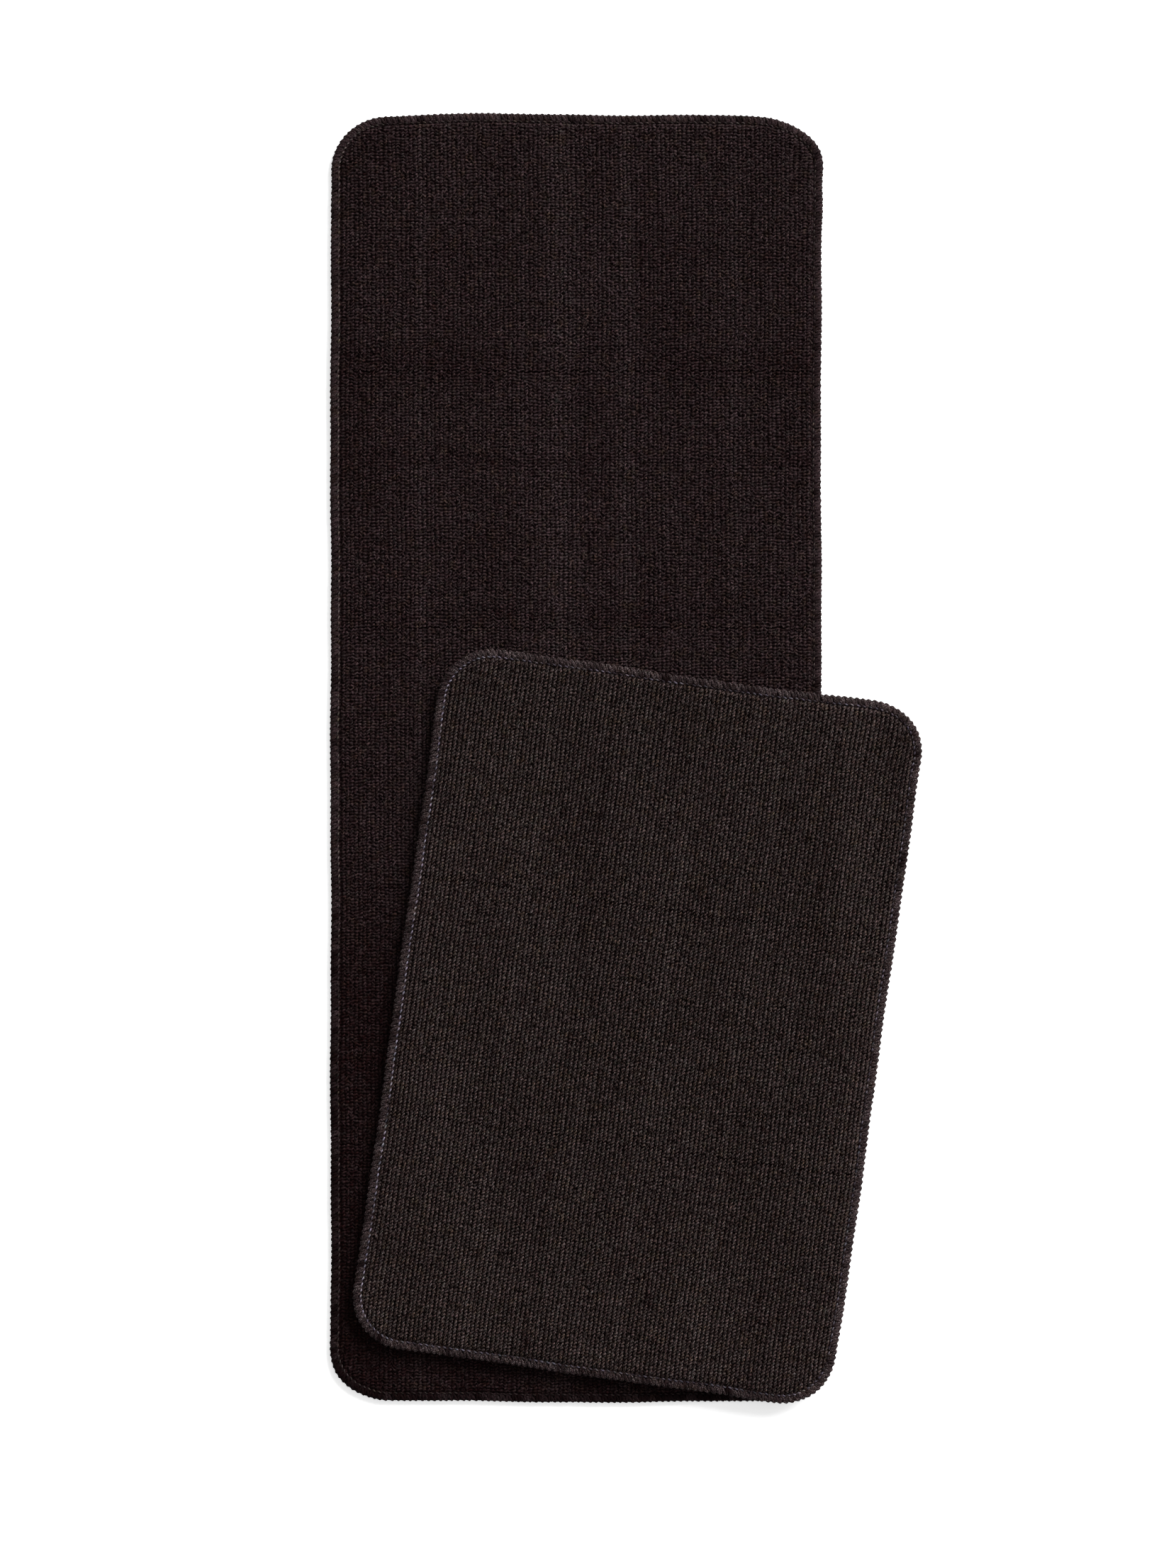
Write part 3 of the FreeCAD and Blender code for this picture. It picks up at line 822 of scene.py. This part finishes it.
def weave_material(name, dark, light, pitch):
    """Plain-woven tape yarn: bands each way, the brighter of the two on top."""
    material, tree, shader = new_finish(name, 0.8, PLAIN_SHEEN)
    places = add_node(tree, "ShaderNodeTexCoord")
    bands = 2 * math.pi / (20 * pitch)
    ways = []
    for direction in ("X", "Y"):
        wave = add_node(tree, "ShaderNodeTexWave", bands_direction=direction, Scale=bands)
        tree.links.new(places.outputs["Object"], wave.inputs["Vector"])
        ways.append(wave.outputs["Fac"])
    woven = add_node(tree, "ShaderNodeMath", operation="MAXIMUM")
    tree.links.new(ways[0], woven.inputs[0])
    tree.links.new(ways[1], woven.inputs[1])
    tree.links.new(mix_colours(tree, woven.outputs[0], dark, light), shader.inputs["Base Color"])
    add_bump(tree, shader, woven.outputs[0], 0.7, 0.2 * MM)
    return material


rubber_finish = plain_material(
    "backing rubber", (0.010, 0.0095, 0.0095), (0.019, 0.018, 0.0175), roughness=0.7, grain=900,
    bump_depth=0.1 * MM)
latex_finish = plain_material(
    "latex", (0.032, 0.026, 0.021), (0.055, 0.046, 0.038), roughness=0.6, grain=300,
    bump_depth=0.2 * MM)
weave_finish = weave_material(
    "woven backing", (0.016, 0.012, 0.010), (0.050, 0.040, 0.033), pitch=1.2 * MM)
print("finishes in all:", len(bpy.data.materials))

# %% [markdown]
# The nubs stand on every second column and row of the rubber's grid, and the grid between them is
# raised by their relief. The thin layers are rings of points between the centre and the raw edge,
# close together near the edge, where the cloth curls.

# %% Rubber backing with its nubs, and the two thin layers
RUBBER_BASE_STEPS = (5, 5)
RINGS = (0.05, 0.2, 0.35, 0.5, 0.62, 0.72, 0.8, 0.87, 0.93, 0.97, 1.0)
POINTS_AROUND = 240


def make_rubber(mat):
    """Rubber slab whose lower face is a grid of low nubs, stepped up under the edge yarn."""
    pitch, relief, step_up = 6 * MM, 0.35 * MM, 0.7 * MM
    columns, rows = 2 * round(mat.width / pitch), 2 * round(mat.length / pitch)
    i, j = np.meshgrid(np.arange(columns + 1), np.arange(rows + 1), indexing="ij")
    x = (i / columns - 0.5) * (mat.width - 2 * RAW_EDGE)
    y = (j / rows - 0.5) * (mat.length - 2 * RAW_EDGE)
    x, y = pull_inside(mat, x, y, RAW_EDGE)
    ramp = 0.5 * MM
    field = smooth((inside_by(mat, x, y, NEEDLE_LINE) + ramp) / ramp)
    nub = (i % 2) * (j % 2)
    z = field * relief * (1 - nub) + (1 - field) * step_up
    mesh, _ = close_grid(
        mat, f"{mat.name}_rubber", (x, y, z), RUBBER_TOP, RUBBER_BASE_STEPS, turned_over=True)
    return add_piece(mat, "rubber", mesh, rubber_finish, "rubber_backing")


def make_layer(mat, name, low, high, finish, cad_node):
    """A thin closed layer cut to the raw edge: rings of points drawn in towards the centre."""
    share = np.array(RINGS + RINGS[::-1])
    level = np.repeat([low, high], len(RINGS))
    place, outward = walk_outline(mat, np.arange(POINTS_AROUND) / POINTS_AROUND * perimeter(mat))
    edge = place - outward * RAW_EDGE
    x = share[:, None] * edge[:, 0]
    y = share[:, None] * edge[:, 1]
    z = np.repeat(level[:, None], POINTS_AROUND, axis=1)
    number = np.arange(x.size).reshape(x.shape)
    onward = np.roll(number, -1, axis=1)
    corners = [onward[:-1], onward[1:], number[1:], number[:-1]]
    faces = np.stack([part.ravel() for part in corners], axis=1)
    caps = [number[0][None, ::-1], number[-1][None]]
    points = lay(mat, x.ravel(), y.ravel(), z.ravel())
    mesh = make_mesh(f"{mat.name}_{name}", points, [], [faces, *caps])
    return add_piece(mat, name, mesh, finish, cad_node)


def make_underside(mat):
    """All three layers below the pile."""
    rubber = make_rubber(mat)
    latex = make_layer(mat, "latex", RUBBER_TOP, LATEX_TOP, latex_finish, "latex_coat")
    weave = make_layer(
        mat, "weave", LATEX_TOP, SCRIM_TOP, weave_finish, "primary_backing")
    return rubber, latex, weave


runner_rubber, runner_latex, runner_weave = make_underside(RUNNER)
small_rubber, small_latex, small_weave = make_underside(SMALL_MAT)


# %% [markdown]
# ## The cloth of each mat
# Each mat is one sheet of cloth, its woven backing, cut to a rounded rectangle, and everything
# else is tufted, coated or sewn onto it.


# %% [markdown]
# ## Floor and backdrop
# The mats lie on a wide pale floor that glows a little, and far behind it stands a ring of white
# backdrop, so that everything round them is white from every side. Only the camera sees the
# backdrop: it lights nothing and throws no shadow.

# %% Floor
FLOOR_LEVEL = -0.4 * MM
FLOOR_REACH = 30.0


def glowing_finish(name, grey, roughness, glow):
    """A grey that also gives off white light of its own."""
    material, _, shader = new_finish(name, roughness, PLAIN_SHEEN)
    shader.inputs["Base Color"].default_value = (grey, grey, grey, 1)
    shader.inputs["Emission Color"].default_value = (1, 1, 1, 1)
    shader.inputs["Emission Strength"].default_value = glow
    return material


corners = [(-1, -1), (1, -1), (1, 1), (-1, 1)]
floor_mesh = bpy.data.meshes.new("floor")
floor_mesh.from_pydata(
    [(FLOOR_REACH * x, FLOOR_REACH * y, FLOOR_LEVEL) for x, y in corners], [], [(0, 1, 2, 3)])
floor_mesh.materials.append(glowing_finish("pale floor", grey=0.80, roughness=0.9, glow=0.5))
floor = bpy.data.objects.new("floor", floor_mesh)
bpy.context.scene.collection.objects.link(floor)
print("floor", 2 * FLOOR_REACH, "m wide")

# %% Backdrop
PANELS = 48
BACKDROP_RADIUS = 0.9 * FLOOR_REACH
around = np.arange(PANELS) * 2 * np.pi / PANELS
foot = np.column_stack([np.cos(around), np.sin(around), 0 * around]) * BACKDROP_RADIUS
number = np.arange(PANELS)
onward = np.roll(number, -1)
panels = np.stack([onward, number, number + PANELS, onward + PANELS], axis=1)
backdrop_mesh = bpy.data.meshes.new("backdrop")
backdrop_mesh.from_pydata(np.vstack([foot, foot + [0, 0, FLOOR_REACH]]).tolist(), [], panels.tolist())
backdrop_mesh.materials.append(glowing_finish("white backdrop", grey=0, roughness=0.5, glow=1.2))
backdrop = bpy.data.objects.new("backdrop", backdrop_mesh)
backdrop.visible_diffuse = backdrop.visible_glossy = backdrop.visible_shadow = False
bpy.context.scene.collection.objects.link(backdrop)
print("backdrop", PANELS, "panels at", BACKDROP_RADIUS, "m")

# %% [markdown]
# ## Light and camera
# The room is bright and even, and one large soft lamp shines from low down beyond the mats' far
# right corner. It gives each loop a lit side and a shaded one, and lays a soft shadow on the
# runner along the small mat's left and near edges. The camera looks straight down through a long
# lens.

# %% Light
ROOM_LIGHT, LAMP_LIGHT = 0.47, 8.2
LAMP_SOFTNESS = math.radians(45)
LAMP_SHINES = Vector((-0.75, -0.9, -0.40))
world = bpy.data.worlds.new("room")
world.use_nodes = True
world.node_tree.nodes["Background"].inputs["Color"].default_value = (1, 1, 1, 1)
world.node_tree.nodes["Background"].inputs["Strength"].default_value = ROOM_LIGHT
bpy.context.scene.world = world

window_light = bpy.data.lights.new("window", "SUN")
window_light.energy = LAMP_LIGHT
window_light.angle = LAMP_SOFTNESS
window = bpy.data.objects.new("window", window_light)
window.rotation_euler = LAMP_SHINES.to_track_quat("-Z", "Y").to_euler()
bpy.context.scene.collection.objects.link(window)
print("lamp turned by", [round(math.degrees(angle)) for angle in window.rotation_euler], "degrees")

# %% Camera
VIEW_CENTRE = (11.2 * MM, -24.1 * MM)
VIEW_HEIGHT = 1.4586
LENS, FILM = 120.0, 36.0
camera_data = bpy.data.cameras.new("camera")
camera_data.lens = LENS
camera_data.sensor_width = FILM
camera_data.clip_end = 50
camera = bpy.data.objects.new("camera", camera_data)
camera.location = (*VIEW_CENTRE, VIEW_HEIGHT * LENS / FILM + PILE_TOP)
bpy.context.scene.collection.objects.link(camera)
bpy.context.scene.camera = camera
bpy.context.scene.view_settings.view_transform = "Standard"
print("camera height", round(camera.location.z, 3), "m")
